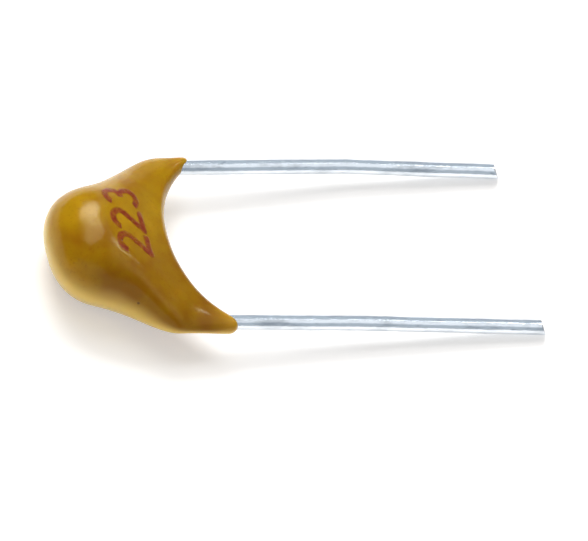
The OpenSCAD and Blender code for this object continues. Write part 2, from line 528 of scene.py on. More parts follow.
    def upper_skin(self, bm: bmesh.types.BMesh) -> None:
        """Lays a grid over the coat's upper half, row by row along the rays.

        Args:
            bm: The empty mesh.
        """
        left, right = self.end_angle(Side.LEFT), self.end_angle(Side.RIGHT)
        bmesh.ops.create_grid(bm, x_segments=self.steps, y_segments=self.rays, size=1.0)
        rows: dict[int, list[bmesh.types.BMVert]] = {}
        for vert in bm.verts:
            rows.setdefault(round((vert.co.y + 1) / 2 * self.rays), []).append(vert)
        for row, verts in rows.items():
            angle = (left + right) / 2 - (left - right) / 2 * math.cos(math.pi * row / self.rays)
            core = self.ridge(angle)
            near, far = (self.halve(core, outside, lambda reach: self.on_ray_fullness(angle, reach) > 0)
                         for outside in (self.search_from * self.hollow_r, self.ray_end))
            for vert in verts:
                share = (1 + math.sin(vert.co.x * math.pi / 2)) / 2
                x, y = self.on_ray(angle, near + (far - near) * share)
                inner = abs(vert.co.x) < 1 - 0.5 / self.steps and 0 < row < self.rays
                height = self.crown(x) * math.sqrt(max(0.0, self.fullness(x, y))) if inner else 0.0
                vert.co = (x, y, height)

    def build(self, pose: RestPose, finish: bpy.types.Material) -> bpy.types.Object:
        """Models the coat.

        Args:
            pose: How the part lies.
            finish: The coat's finish.

        Returns:
            The coat.
        """
        piece = Piece("epoxy_coat_skin", pose)
        bm = piece.bm
        self.upper_skin(bm)
        bmesh.ops.mirror(bm, geom=bm.verts[:] + bm.edges[:] + bm.faces[:], merge_dist=SAME, axis="Z")
        bmesh.ops.remove_doubles(bm, verts=bm.verts, dist=WELD)
        bmesh.ops.dissolve_degenerate(bm, dist=SAME, edges=bm.edges)
        bmesh.ops.recalc_face_normals(bm, faces=bm.faces)
        bmesh.ops.smooth_vert(bm, verts=bm.verts, factor=0.5,
                              use_axis_x=True, use_axis_y=True, use_axis_z=True)
        bm.normal_update()
        moves = [vert.normal * self.unevenness(vert.co) for vert in bm.verts]
        for vert, move in zip(bm.verts, moves):
            vert.co += move
        coat = piece.finish([finish])
        smooth = coat.modifiers.new("skin", "SUBSURF")
        smooth.levels = smooth.render_levels = 1
        return coat

    def unevenness(self, place: Vector) -> float:
        """Gives the height of the coat's soft unevenness, which fades out towards the leads.

        Args:
            place: The place on the coat.

        Returns:
            The height, outwards.
        """
        fine = self.swell_fine * noise.noise(place / (self.swell_fine * self.swell_pitch))
        wave = noise.noise(place / self.swell_pitch) + fine
        return self.swell * (wave - 1) * ease(-place.x / self.web_depth)


@dataclass(frozen=True)
class Stretch:
    """A stretch of wire of one curvature.

    Attributes:
        length: Its length.
        turn: How far it turns, in radians, outward is positive.
    """

    length: float
    turn: float = 0.0

    def walk(self, x: float, y: float, heading: float, along: float) -> Triple:
        """Follows the stretch from a place and heading.

        Args:
            x: Where the stretch starts, along the part.
            y: Where the stretch starts, across the part.
            heading: Its heading there, in radians.
            along: How far to go.

        Returns:
            The place and heading reached.
        """
        turned = self.turn * along / self.length
        chord = 2 * along / turned * math.sin(turned / 2) if turned else along
        way = heading + turned / 2
        return x + chord * math.cos(way), y + chord * math.sin(way), heading + turned


@dataclass(frozen=True)
class Lead:
    """One lead: beside the chip, out through two bends in the coat, and bare with a soft kink to its tip.

    Attributes:
        side: Which lead it is.
        leads: The leads' sizes.
        chip: The chip's sizes.
        sides: Faces round the wire.
        pitch: Distance between the mesh's rings.
        ripple: Height of the plating's ripples.
        ripples: How many there are in a millimetre, along and across the wire.
        ripple_seed: Where the left lead's ripples are taken from. The right lead's lie the other way.
        burr: Radius of the rolled rim round the cut.
        facing: How near a face's direction is to the cut's, from 0 to 1, to be part of it.
    """

    side: Side
    leads: LeadSizes
    chip: ChipSizes
    sides: int = 48
    pitch: float = 0.08
    ripple: float = 0.006
    ripples: Point = (0.9, 2.2)
    ripple_seed: float = 20.0
    burr: float = 0.012
    facing: float = 0.999

    def stretches(self) -> list[Stretch]:
        """Sets the wire's centre line out.

        Returns:
            Its stretches, from the chip to the tip.
        """
        size = self.leads
        first, last = (math.radians(angle) for angle in size.drift[self.side])
        spread = math.radians(size.spread)
        bend_run = size.bend_r * math.tan(spread / 2)
        out = size.covered - bend_run
        lift = size.bend_r * (1 + math.cos(first) - 2 * math.cos(spread)) + out * math.sin(first)
        slant = (size.pitch / 2 - self.chip.lead_y(size) - lift) / math.sin(spread)
        run = (size.bend_r * (2 * math.sin(spread) - math.sin(first)) + slant * math.cos(spread)
               + out * math.cos(first))
        kink = last - first
        kink_run = size.kink_r * math.tan(abs(kink) / 2)
        kink_at = size.kink_at[self.side]
        return [
            Stretch(-self.chip.lead_start_x(size) - run),
            Stretch(size.bend_r * spread, spread),
            Stretch(slant),
            Stretch(size.bend_r * (spread - first), first - spread),
            Stretch(out + kink_at - kink_run),
            Stretch(size.kink_r * abs(kink), kink),
            Stretch(size.length - kink_at - kink_run + size.diameter),
        ]

    def follow(self, place: Vector, path: Iterable[Stretch]) -> Vector:
        """Carries a place on the straight rod to the bent wire.

        Args:
            place: The place on the rod.
            path: The wire's stretches.

        Returns:
            The place on the wire.
        """
        x, y, heading = self.chip.lead_start_x(self.leads), self.chip.lead_y(self.leads), 0.0
        left = place.x
        for stretch in path:
            step = min(left, stretch.length)
            x, y, heading = stretch.walk(x, y, heading, step)
            left -= step
            if left <= 0:
                break
        ahead = Vector((math.cos(heading), math.sin(heading), 0.0))
        across = Vector((-math.sin(heading), math.cos(heading), 0.0))
        return Vector((x, y, 0.0)) + ahead * left + across * place.y + Vector((0.0, 0.0, place.z))

    def rod(self, bm: bmesh.types.BMesh, path: Sequence[Stretch]) -> None:
        """Makes the straight rod with its slanted cut and rolled rim.

        Args:
            bm: The empty mesh.
            path: The wire's stretches.
        """
        length = sum(stretch.length for stretch in path)
        radius = self.leads.radius
        bmesh.ops.create_cone(bm, cap_ends=True, segments=self.sides, radius1=radius, radius2=radius,
                              depth=length, matrix=Matrix.Rotation(math.pi / 2, 4, "Y"))
        bmesh.ops.translate(bm, vec=(length / 2, 0.0, 0.0), verts=bm.verts)
        long_edges = [edge for edge in bm.edges if edge.calc_length() > length / 2]
        bmesh.ops.subdivide_edges(bm, edges=long_edges, cuts=round(length / self.pitch), use_grid_fill=True)
        slant = math.radians(self.leads.cut)
        cut_at = (length - self.leads.diameter, 0.0, 0.0)
        normal = Vector((math.cos(slant), 0.0, math.sin(slant)))
        bmesh.ops.bisect_plane(bm, geom=bm.verts[:] + bm.edges[:] + bm.faces[:], dist=ON_CUT,
                               plane_co=cut_at, plane_no=normal, clear_outer=True)
        rim = [edge for edge in bm.edges if edge.is_boundary]
        bmesh.ops.contextual_create(bm, geom=rim)
        bmesh.ops.bevel(bm, geom=rim, offset=self.burr, segments=3, profile=0.5,
                        affect="EDGES", material=-1, clamp_overlap=True)
        bmesh.ops.recalc_face_normals(bm, faces=bm.faces)
        for cap in bm.faces:
            if cap.normal.dot(normal) > self.facing and cap.calc_center_median().x > length / 2:
                cap.material_index = 1

    def build(self, pose: RestPose, finishes: Sequence[bpy.types.Material]) -> bpy.types.Object:
        """Models the lead.

        Args:
            pose: How the part lies.
            finishes: The plating's finish and that of the cut.

        Returns:
            The lead.
        """
        piece = Piece(f"{self.side.node}_lead_wire", pose)
        path = self.stretches()
        self.rod(piece.bm, path)
        seed = Vector((0.0, 0.0, self.ripple_seed * self.side.value))
        along, across = self.ripples
        for vert in piece.bm.verts:
            place = vert.co.copy()
            wave = noise.noise(Vector((place.x * along, place.y * across, place.z * across)) + seed)
            swell = 1 + self.ripple / self.leads.radius * (wave - 1)
            vert.co = self.follow(Vector((place.x, place.y * swell, place.z * swell)), path)
        if self.side is Side.RIGHT:
            bmesh.ops.scale(piece.bm, vec=(1.0, -1.0, 1.0), verts=piece.bm.verts)
            bmesh.ops.recalc_face_normals(piece.bm, faces=piece.bm.faces)
        return piece.finish(finishes)


# ------------------------------------------------------------
# Finishes


@dataclass(frozen=True)
class Step:
    """A smooth step between two levels.

    Attributes:
        start: The value at which it starts.
        stop: The value at which it stops.
        first: The level up to its start.
        last: The level from its stop on.
    """

    start: float
    stop: float
    first: float = 0.0
    last: float = 1.0


@dataclass(frozen=True)
class Grain:
    """A cloudy or grainy unevenness.

    Attributes:
        scale: Its scale, per millimetre.
        detail: How many finer layers lie on it.
        rough: How strong those are.
    """

    scale: float
    detail: float = 3.0
    rough: float = 0.5


@dataclass(frozen=True)
class Relief:
    """A fine relief in a skin.

    Attributes:
        height: Its full height, in millimetres.
        strength: How much of it shows.
    """

    height: float
    strength: float = 1.0


class Shader:
    """A node tree that is built call by call."""

    def __init__(self, tree: bpy.types.NodeTree) -> None:
        """Empties a tree and starts to build it.

        Args:
            tree: The tree of a material or a world.
        """
        self.tree = tree
        tree.nodes.clear()

    @classmethod
    def of_material(cls, name: str) -> tuple[bpy.types.Material, Shader]:
        """Makes a material.

        Args:
            name: Its name.

        Returns:
            The material and its empty tree.
        """
        material = bpy.data.materials.new(name)
        material.use_nodes = True
        return material, cls(material.node_tree)

    def add(self, kind: str, inputs: dict | None = None, **settings: object) -> bpy.types.Node:
        """Adds a node.

        Args:
            kind: The node's type.
            inputs: Values or sockets, by the name or number of the input.
            settings: The node's own settings.

        Returns:
            The node.
        """
        node = self.tree.nodes.new(kind)
        for name, setting in settings.items():
            setattr(node, name, setting)
        for name, value in (inputs or {}).items():
            if isinstance(value, Socket):
                self.tree.links.new(value, node.inputs[name])
            else:
                node.inputs[name].default_value = value
        return node

    def math(self, operation: str, first: Value, second: Value = 0.0, clamp: bool = False) -> Socket:
        """Adds a sum on two numbers and returns its result."""
        node = self.add("ShaderNodeMath", {0: first, 1: second}, operation=operation, use_clamp=clamp)
        return node.outputs[0]

    def vector(self, operation: str, first: Value, second: Value = (0.0, 0.0, 0.0)) -> Socket:
        """Adds a sum on two vectors and returns the vector that it gives."""
        return self.add("ShaderNodeVectorMath", {0: first, 1: second}, operation=operation).outputs[0]

    def measure(self, operation: str, first: Value, second: Value = (0.0, 0.0, 0.0)) -> Socket:
        """Adds a sum on two vectors and returns the number that it gives."""
        return self.add("ShaderNodeVectorMath", {0: first, 1: second}, operation=operation).outputs["Value"]

    def split(self, vector: Socket) -> Sequence[Socket]:
        """Adds a node that splits a vector and returns its three parts."""
        return self.add("ShaderNodeSeparateXYZ", {0: vector}).outputs

    def step(self, value: Value, step: Step) -> Socket:
        """Adds a smooth step and returns its level."""
        inputs = {0: value, 1: step.start, 2: step.stop, 3: step.first, 4: step.last}
        return self.add("ShaderNodeMapRange", inputs, interpolation_type="SMOOTHSTEP").outputs[0]

    def noise(self, place: Value, grain: Grain) -> Socket:
        """Adds an unevenness and returns its level, from 0 to 1."""
        inputs = {"Vector": place, "Scale": grain.scale, "Detail": grain.detail, "Roughness": grain.rough}
        return self.add("ShaderNodeTexNoise", inputs).outputs["Fac"]

    def mix(self, share: Value, first: Value, second: Value, blend: str = "MIX") -> Socket:
        """Adds a mix of two colours and returns it."""
        node = self.add("ShaderNodeMix", {0: share, 6: first, 7: second}, data_type="RGBA", blend_type=blend)
        return node.outputs[2]

    def bump(self, level: Value, relief: Relief, below: Socket | None = None) -> Socket:
        """Adds a relief to a skin.

        Args:
            level: The skin's level, from 0 to 1.
            relief: The relief that it has at level 1.
            below: The normal of a skin below it.

        Returns:
            The skin's normal.
        """
        inputs = {"Height": level, "Distance": relief.height * MM, "Strength": relief.strength}
        if below is not None:
            inputs["Normal"] = below
        return self.add("ShaderNodeBump", inputs).outputs[0]

    def place(self, pose: RestPose) -> Socket:
        """Adds the place on the piece.

        Args:
            pose: How the part lies.

        Returns:
            The place in millimetres, in the frame of the sizes.
        """
        mapping = self.add("ShaderNodeMapping", {
            "Vector": self.add("ShaderNodeTexCoord").outputs["Object"],
            "Location": pose.matrix.inverted().to_translation(),
            "Rotation": (0.0, -math.radians(pose.tilt), 0.0),
            "Scale": (1 / MM, 1 / MM, 1 / MM)}, vector_type="POINT")
        return mapping.outputs[0]

    def end(self, surface: bpy.types.Node) -> None:
        """Ends the tree in its surface."""
        self.add("ShaderNodeOutputMaterial", {"Surface": surface.outputs[0]})

    def skin(self, colour: Value, rough: Value, normal: Socket, more: dict) -> None:
        """Ends the tree in an opaque skin.

        Args:
            colour: Its colour.
            rough: Its roughness.
            normal: Its normal.
            more: Further values or sockets, by the name of the input.
        """
        inputs = {"Base Color": colour, "Roughness": rough, "Normal": normal}
        self.end(self.add("ShaderNodeBsdfPrincipled", inputs | more))


@dataclass(frozen=True)
class Straight:
    """A straight stroke of a digit, in a box that is 1 high.

    Attributes:
        start: Where it starts.
        stop: Where it stops.
    """

    start: Point
    stop: Point

    def distance(self, shader: Shader, pen: Socket) -> Socket:
        """Gives the distance of a place from the stroke.

        Args:
            shader: The coat's tree.
            pen: The place in the digit's box.

        Returns:
            The distance, in heights of a digit.
        """
        reach = Vector((*self.stop, 0.0)) - Vector((*self.start, 0.0))
        offset = shader.vector("SUBTRACT", pen, (*self.start, 0.0))
        along = shader.measure("DOT_PRODUCT", offset, reach / reach.length_squared)
        share = shader.math("ADD", along, 0.0, clamp=True)
        step = shader.add("ShaderNodeVectorMath", {0: reach, "Scale": share}, operation="SCALE").outputs[0]
        return shader.measure("DISTANCE", offset, step)


@dataclass(frozen=True)
class Round:
    """A round stroke of a digit, in a box that is 1 high.

    Attributes:
        centre: Its centre.
        radius: Its radius.
        start: The angle at which it starts, in degrees.
        stop: The angle at which it stops, in degrees.
    """

    centre: Point
    radius: float
    start: float
    stop: float

    def distance(self, shader: Shader, pen: Socket) -> Socket:
        """Gives the distance of a place from the stroke.

        Args:
            shader: The coat's tree.
            pen: The place in the digit's box.

        Returns:
            The distance, in heights of a digit, and over 1 beyond the stroke's ends.
        """
        offset = shader.vector("SUBTRACT", pen, (*self.centre, 0.0))
        length = shader.measure("LENGTH", offset)
        gap = shader.math("ABSOLUTE", shader.math("SUBTRACT", length, self.radius))
        middle = math.radians((self.start + self.stop) / 2)
        half_span = math.radians(abs(self.start - self.stop) / 2)
        way = shader.vector("NORMALIZE", offset)
        facing = shader.measure("DOT_PRODUCT", way, (math.cos(middle), math.sin(middle), 0.0))
        beyond = shader.math("LESS_THAN", facing, math.cos(half_span))
        return shader.math("ADD", gap, beyond)


Digit = tuple[Union[Straight, Round], ...]
TWO: Digit = (
    Round((0.0, 0.73), 0.25, 165.0, -35.0),
    Straight((0.205, 0.587), (-0.24, 0.04)),
    Straight((-0.24, 0.04), (0.26, 0.04)),
)
THREE: Digit = (
    Round((0.0, 0.75), 0.23, 150.0, -90.0),
    Round((0.0, 0.27), 0.25, 90.0, -150.0),
)


@dataclass(frozen=True)
class Stamp:
    """A plain number stamped in ink across the coat.

    Attributes:
        digits: Its digits, in reading order.
        start: The foot of the first digit.
        heading: The reading direction, in degrees counted from +X.
        height: Height of a digit.
        pitch: Distance from one digit to the next, in heights of a digit.
        half_width: Half of a stroke's width, in heights of a digit.
        soft: Width over which an edge of the ink fades, in heights of a digit.
        worn: The wear of the rubber stamp's edges.
        wobble: How far the wear moved them, in millimetres.
    """

    digits: tuple[Digit, ...] = (TWO, TWO, THREE)
    start: Point = (-2.28, -0.58)
    heading: float = 92.0
    height: float = 1.05
    pitch: float = 0.72
    half_width: float = 0.09
    soft: float = 0.035
    worn: Grain = Grain(6.0, 2.0)
    wobble: float = 0.06

    def pen(self, shader: Shader, place: Socket) -> Socket:
        """Turns a place on the coat into one in the first digit's box.

        Args:
            shader: The coat's tree.
            place: The place on the coat.

        Returns:
            The place in the box.
        """
        wear = shader.add("ShaderNodeTexNoise", {
            "Vector": place, "Scale": self.worn.scale, "Detail": self.worn.detail}).outputs["Color"]
        centred = shader.vector("SUBTRACT", wear, (0.5, 0.5, 0.5))
        shift = shader.vector("MULTIPLY", centred, (self.wobble, self.wobble, 0.0))
        offset = shader.vector("SUBTRACT", shader.vector("ADD", place, shift), (*self.start, 0.0))
        angle = math.radians(self.heading)
        reading = Vector((math.cos(angle), math.sin(angle), 0.0)) / self.height
        upright = Vector((-math.sin(angle), math.cos(angle), 0.0)) / self.height
        across, up = (shader.measure("DOT_PRODUCT", offset, way) for way in (reading, upright))
        return shader.add("ShaderNodeCombineXYZ", {0: across, 1: up}).outputs[0]

    def mask(self, shader: Shader, place: Socket) -> Socket:
        """Draws the number.

        Args:
            shader: The coat's tree.
            place: The place on the coat.

        Returns:
            Where there is ink, from 0 to 1.
        """
        first_box = self.pen(shader, place)
        nearest: Value = 1.0
        for number, digit in enumerate(self.digits):
            box = shader.vector("SUBTRACT", first_box, (number * self.pitch, 0.0, 0.0))
            for stroke in digit:
                nearest = shader.math("MINIMUM", nearest, stroke.distance(shader, box))
        edge = Step(self.half_width - self.soft, self.half_width + self.soft, 1.0, 0.0)
        upper = shader.math("GREATER_THAN", shader.split(place)[2], 0.0)
        return shader.math("MULTIPLY", shader.step(nearest, edge), upper)


@dataclass(frozen=True)
class Pinholes:
    """A few pinholes, strewn in a skin.

    Attributes:
        cells: How many cells a millimetre has, with room for one pinhole each.
        chosen: Share of the cells that have one.
        radius: The pinholes' radii, in cells.
        edge: How a pinhole's edge fades, in its radii.
        stain: How far its colour covers the skin's.
    """

    cells: float = 2.4
    chosen: float = 0.22
    radius: Step = Step(0.0, 1.0, 0.07, 0.13)
    edge: Step = Step(0.35, 1.0, 1.0, 0.0)
    stain: float = 0.75

    def strew(self, shader: Shader, place: Socket) -> tuple[Socket, Socket]:
        """Strews them.

        Args:
            shader: The skin's tree.
            place: The place on the skin.

        Returns:
            How far their colour covers the skin's, and the level of the skin.
        """
        cells = shader.add("ShaderNodeTexVoronoi", {"Vector": place, "Scale": self.cells, "Randomness": 1.0})
        pick = shader.add("ShaderNodeSeparateColor", {0: cells.outputs["Color"]}).outputs
        chosen = shader.math("LESS_THAN", pick[0], self.chosen)
        inner = shader.math("DIVIDE", cells.outputs["Distance"], shader.step(pick[1], self.radius))
        hole = shader.math("MULTIPLY", shader.step(inner, self.edge), chosen)
        return shader.math("MULTIPLY", hole, self.stain), shader.math("SUBTRACT", 1.0, hole)


@dataclass(frozen=True)
class AmberEpoxy:
    """The coat's finish: a glossy amber dip, cloudy and slightly grainy, with pinholes and a stamped number,
    with painted shade on the side towards -Y and painted rim light on the sides that face sideways.

    Attributes:
        amber: The usual colour.
        brown: The painted shade, a darker and redder tint multiplied over the side towards -Y, which is
            turned from the lamps.
        pale: Painted rim light, the pale colour laid on the sides that face sideways in place of the bright
            table's reflection and the light it bounces up.
        thin: The colour at the legs' ends, where the wire shines through.
        olive: The darker clouds and grains.
        honey: The paler clouds.
        pit: The colour in a pinhole.
        ink: The stamp's colour.
        dry_ink: Its colour where it took badly.
        clouds: The clouds.
        darker: From the darker clouds to the usual colour.
        paler: From the usual colour to the paler clouds.
        grain: The grain.
        grains: How far the dark grains cover the colour.
        pool_wander: How far the clouds move the edge of the painted shade, in millimetres.
        pool: From the unshaded side to the painted shade, across the part.
        ends: The thinning towards the legs' ends, along the part.
        painted_rim_rise: How far the painted rim light covers the skin, from where it faces up to where it
            faces sideways.
        under: Where the painted rim light ends again, on the underside.
        taken: The unevenness with which the ink took.
        cover: How far the ink covers the skin, by that.
        drying: The unevenness with which the ink dried.
        dried: From the ink's colour to the dry one's, by that.
        pinholes: The pinholes.
        roughness: Roughness of the clean skin.
        haze: The unevenness of its gloss.
        hazy: What that adds to its roughness.
        ink_rough: What the ink adds to it.
        peel: The unevenness of the skin's level.
        peel_relief: Its relief.
        grain_relief: The grain's relief.
        pinhole_relief: The pinholes' depth.
        ink_relief: The ink's thickness.
        index: The resin's refractive index.
        depth: How much light goes into the resin, and how far, in millimetres.
        reach: How far its red, green and blue go, as shares of that.
        gleam: How strongly the skin reflects.
        gleam_tint: The tint of its reflections.
        bloom: The strength and roughness of the pale bloom on its sides.
        bloom_tint: The bloom's tint.
    """

    amber: Colour = srgb(176, 134, 2)
    # Painted shade: the tint multiplied over the side towards -Y, which is turned from the lamps.
    brown: Colour = (0.76, 0.68, 0.45, 1.0)
    # Painted rim light: pale colour on the sides that face sideways, standing in for reflected and bounced
    # table light.
    pale: Colour = srgb(246, 213, 112)
    thin: Colour = srgb(206, 160, 40)
    olive: Colour = srgb(163, 114, 1)
    honey: Colour = srgb(190, 145, 10)
    pit: Colour = srgb(92, 62, 14)
    ink: Colour = srgb(128, 34, 4)
    dry_ink: Colour = srgb(146, 60, 16)
    clouds: Grain = Grain(0.9, 2.0)
    darker: Step = Step(0.30, 0.55)
    paler: Step = Step(0.52, 0.74)
    grain: Grain = Grain(11.0, 3.0, 0.6)
    grains: Step = Step(0.30, 0.48, 0.55, 0.0)
    # The edge and the span of the painted shade across the part.
    pool_wander: float = 0.8
    pool: Step = Step(0.9, -1.1)
    ends: Step = Step(-0.9, 0.1, 0.0, 0.7)
    # Where the painted rim light rises and fades, by how far the skin faces up.
    painted_rim_rise: Step = Step(0.48, -0.20, 0.0, 0.78)
    under: Step = Step(-0.85, -0.55)
    taken: Grain = Grain(5.5, 4.0, 0.65)
    cover: Step = Step(0.34, 0.56, 0.62, 1.0)
    drying: Grain = Grain(9.0)
    dried: Step = Step(0.40, 0.65)
    pinholes: Pinholes = Pinholes()
    roughness: float = 0.16
    haze: Grain = Grain(3.0)
    hazy: Step = Step(0.3, 0.7, 0.0, 0.06)
    ink_rough: float = 0.12
    peel: Grain = Grain(2.6, 2.0)
    peel_relief: Relief = Relief(0.020, 0.55)
    grain_relief: Relief = Relief(0.0025, 0.5)
    pinhole_relief: Relief = Relief(0.012)
    ink_relief: Relief = Relief(0.006, 0.8)
    index: float = 1.46
    depth: Point = (0.5, 0.35)
    reach: Triple = (1.0, 0.55, 0.12)
    gleam: float = 0.36
    gleam_tint: Colour = (1.0, 0.92, 0.68, 1.0)
    bloom: Point = (0.6, 0.3)
    bloom_tint: Colour = (1.0, 0.86, 0.52, 1.0)

    def resin(self, shader: Shader, place: Socket, clouds: Socket, grain: Socket) -> Socket:
        """Colours the resin, with painted shade on the side towards -Y and painted rim light on the sides
        that face sideways.

        Args:
            shader: The coat's tree.
            place: The place on the coat.
            clouds: The clouds' level there.
            grain: The grain's level there.

        Returns:
            The colour.
        """
        colour = shader.mix(shader.step(clouds, self.darker), self.olive, self.amber)
        colour = shader.mix(shader.step(clouds, self.paler), colour, self.honey)
        colour = shader.mix(shader.step(grain, self.grains), colour, self.olive)
        along, across, _ = shader.split(place)
        # Painted shade: the side towards -Y is darkened as the side turned from the lamps.
        shaded_across = shader.math("ADD", across, shader.math("MULTIPLY", clouds, self.pool_wander))
        colour = shader.mix(shader.step(shaded_across, self.pool), colour, self.brown, "MULTIPLY")
        colour = shader.mix(shader.step(along, self.ends), colour, self.thin)
        # Painted rim light: skin that faces sideways, short of the underside, is paled in place of the
        # table's reflection and bounce light.
        upwards = shader.split(shader.add("ShaderNodeTexCoord").outputs["Normal"])[2]
        side = shader.math("MULTIPLY", shader.step(upwards, self.painted_rim_rise), shader.step(upwards, self.under))
        return shader.mix(side, colour, self.pale)

    def material(self, pose: RestPose, stamp: Stamp) -> bpy.types.Material:
        """Makes the material.

        Args:
            pose: How the part lies.
            stamp: The number on the upper face.

        Returns:
            The material.
        """
        material, shader = Shader.of_material("amber_epoxy")
        place = shader.place(pose)
        clouds, grain = shader.noise(place, self.clouds), shader.noise(place, self.grain)
        pits, level = self.pinholes.strew(shader, place)
        colour = shader.mix(pits, self.resin(shader, place, clouds, grain), self.pit)
        patchy = shader.step(shader.noise(place, self.taken), self.cover)
        inked = shader.math("MULTIPLY", stamp.mask(shader, place), patchy)
        dry = shader.step(shader.noise(place, self.drying), self.dried)
        colour = shader.mix(inked, colour, shader.mix(dry, self.ink, self.dry_ink))
        haze = shader.step(shader.noise(place, self.haze), self.hazy)
        rough = shader.math("ADD", haze, self.roughness)
        rough = shader.math("ADD", rough, shader.math("MULTIPLY", inked, self.ink_rough))
        normal = shader.bump(shader.noise(place, self.peel), self.peel_relief)
        normal = shader.bump(grain, self.grain_relief, normal)
        normal = shader.bump(level, self.pinhole_relief, normal)
        normal = shader.bump(inked, self.ink_relief, normal)
        share, depth = self.depth
        shader.skin(colour, rough, normal, {
            "IOR": self.index, "Specular IOR Level": self.gleam, "Specular Tint": self.gleam_tint,
            "Subsurface Weight": shader.math("MULTIPLY", shader.math("SUBTRACT", 1.0, inked), share),
            "Subsurface Radius": self.reach, "Subsurface Scale": depth * MM,
            "Sheen Weight": self.bloom[0], "Sheen Roughness": self.bloom[1],
            "Sheen Tint": self.bloom_tint})
        return material


@dataclass(frozen=True)
class Metal:
    """A soft metal finish, uneven along the piece.

    Attributes:
        name: The finish's name.
        bright: Its usual colour.
        dull: The colour of its duller patches and nicks.
        roughness: Roughness of the bright places.
        rougher: Roughness of the dull places.
        stretch: Scale of the unevenness along and across the piece.
        relief: Height of the fine unevenness, in millimetres.
        patches: The dull patches.
        dulled: From the bright colour to that of the patches.
        roughened: The levels between which the patches grow rougher.
        patch_relief: How many times higher than that their relief is, and its strength.
        fine: The fine unevenness.
        nicked: From its nicks to the bright colour.
        fine_strength: The strength of its relief.
    """

    name: str
    bright: Colour
    dull: Colour
    roughness: float
    rougher: float
    stretch: Triple = (1.0, 1.0, 1.0)
    relief: float = 0.002
    patches: Grain = Grain(1.6, 4.0, 0.6)
    dulled: Step = Step(0.42, 0.68)
    roughened: Point = (0.35, 0.70)
    patch_relief: Point = (1.6, 0.7)
    fine: Grain = Grain(7.0, 3.0, 0.6)
    nicked: Step = Step(0.28, 0.40, 1.0, 0.0)
    fine_strength: float = 0.8

    def material(self, pose: RestPose) -> bpy.types.Material:
        """Makes the material.

        Args:
            pose: How the part lies.

        Returns:
            The material.
        """
        material, shader = Shader.of_material(self.name)
        place = shader.vector("MULTIPLY", shader.place(pose), self.stretch)
        patches, fine = shader.noise(place, self.patches), shader.noise(place, self.fine)
        dull = shader.math("MAXIMUM", shader.step(patches, self.dulled), shader.step(fine, self.nicked))
        rough = shader.step(patches, Step(*self.roughened, self.roughness, self.rougher))
        times, strength = self.patch_relief
        normal = shader.bump(patches, Relief(times * self.relief, strength))
        normal = shader.bump(fine, Relief(self.relief, self.fine_strength), normal)
        shader.skin(shader.mix(dull, self.bright, self.dull), rough, normal, {"Metallic": 1.0})
        return material


@dataclass(frozen=True)
class FiredCeramic:
    """The chip's fired ceramic.

    Attributes:
        body: Its usual colour.
        speck: The colour of its specks.
        specks: The specks.
        speckled: Where a speck's colour shows.
        relief: Their relief.
        roughness: Its roughness.
    """

    body: Colour = srgb(150, 112, 84)
    speck: Colour = srgb(122, 88, 64)
    specks: Grain = Grain(18.0, 4.0, 0.6)
    speckled: Step = Step(0.4, 0.6)
    relief: Relief = Relief(0.003)
    roughness: float = 0.55

    def material(self, pose: RestPose) -> bpy.types.Material:
        """Makes the material.

        Args:
            pose: How the part lies.

        Returns:
            The material.
        """
        material, shader = Shader.of_material("fired_ceramic")
        specks = shader.noise(shader.place(pose), self.specks)
        colour = shader.mix(shader.step(specks, self.speckled), self.body, self.speck)
        shader.skin(colour, self.roughness, shader.bump(specks, self.relief), {})
        return material


# ------------------------------------------------------------
# Assembly


class Capacitor:
    """The whole part: new meshes for the coat and the leads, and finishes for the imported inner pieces."""

    def __init__(self, frame: dict) -> None:
        """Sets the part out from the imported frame.
        """
        self.nodes = frame["nodes"]
        self.leads = LeadSizes()
        self.chip = ChipSizes()
        self.coat = Coat(self.leads, self.chip)
        self.pose = RestPose.of(frame["record"], self.leads, self.coat.far_x)
        self.tin = Metal("tinned_wire", srgb(234, 240, 246), srgb(205, 212, 219), 0.13, 0.27,
                         stretch=(0.5, 1.6, 1.6), relief=0.006)
        self.cut = Metal("cut_wire", srgb(158, 161, 166), srgb(112, 115, 121), 0.42, 0.62,
                         stretch=(2.0, 6.0, 2.0), relief=0.004)

    def add(self, piece: bpy.types.Object, node: str, slot: str) -> None:
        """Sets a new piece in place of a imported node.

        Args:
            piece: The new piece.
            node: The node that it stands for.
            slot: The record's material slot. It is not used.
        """
        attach(piece, BODY)
        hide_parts(node)
        log.info("%s stands for %s: %d faces", piece.name, node, len(piece.data.polygons))

    def build_coat(self) -> None:
        """Models and dresses the coat."""
        finish = AmberEpoxy().material(self.pose, Stamp())
        self.add(self.coat.build(self.pose, finish), "epoxy_coat", "epoxy")

    def build_leads(self) -> None:
        """Models and dresses the two leads."""
        finishes = [self.tin.material(self.pose), self.cut.material(self.pose)]
        for side in Side:
            wire = Lead(side, self.leads, self.chip).build(self.pose, finishes)
            self.add(wire, f"{side.node}_lead", "tinned_wire")

    def dress_inside(self) -> None:
        """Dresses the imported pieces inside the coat."""
        nickel = Metal("fired_nickel", srgb(150, 146, 140), srgb(112, 108, 104), 0.40, 0.60)
        silver = Metal("plated_silver", srgb(214, 214, 210), srgb(176, 176, 172), 0.30, 0.50)
        solder = Metal("soft_solder", srgb(196, 199, 203), srgb(150, 153, 158), 0.30, 0.50)
        finishes = {"ceramic_body": FiredCeramic().material(self.pose)}
        for name, metal in (("electrodes", nickel), ("termination", silver), ("solder_joint", solder)):
            material = metal.material(self.pose)
            finishes.update({f"{side.node}_{name}": material for side in Side})
        for name, material in finishes.items():
            slots = self.nodes[name].data.materials
            slots.clear()
            slots.append(material)
            log.info("%s is dressed in %s", name, material.name)


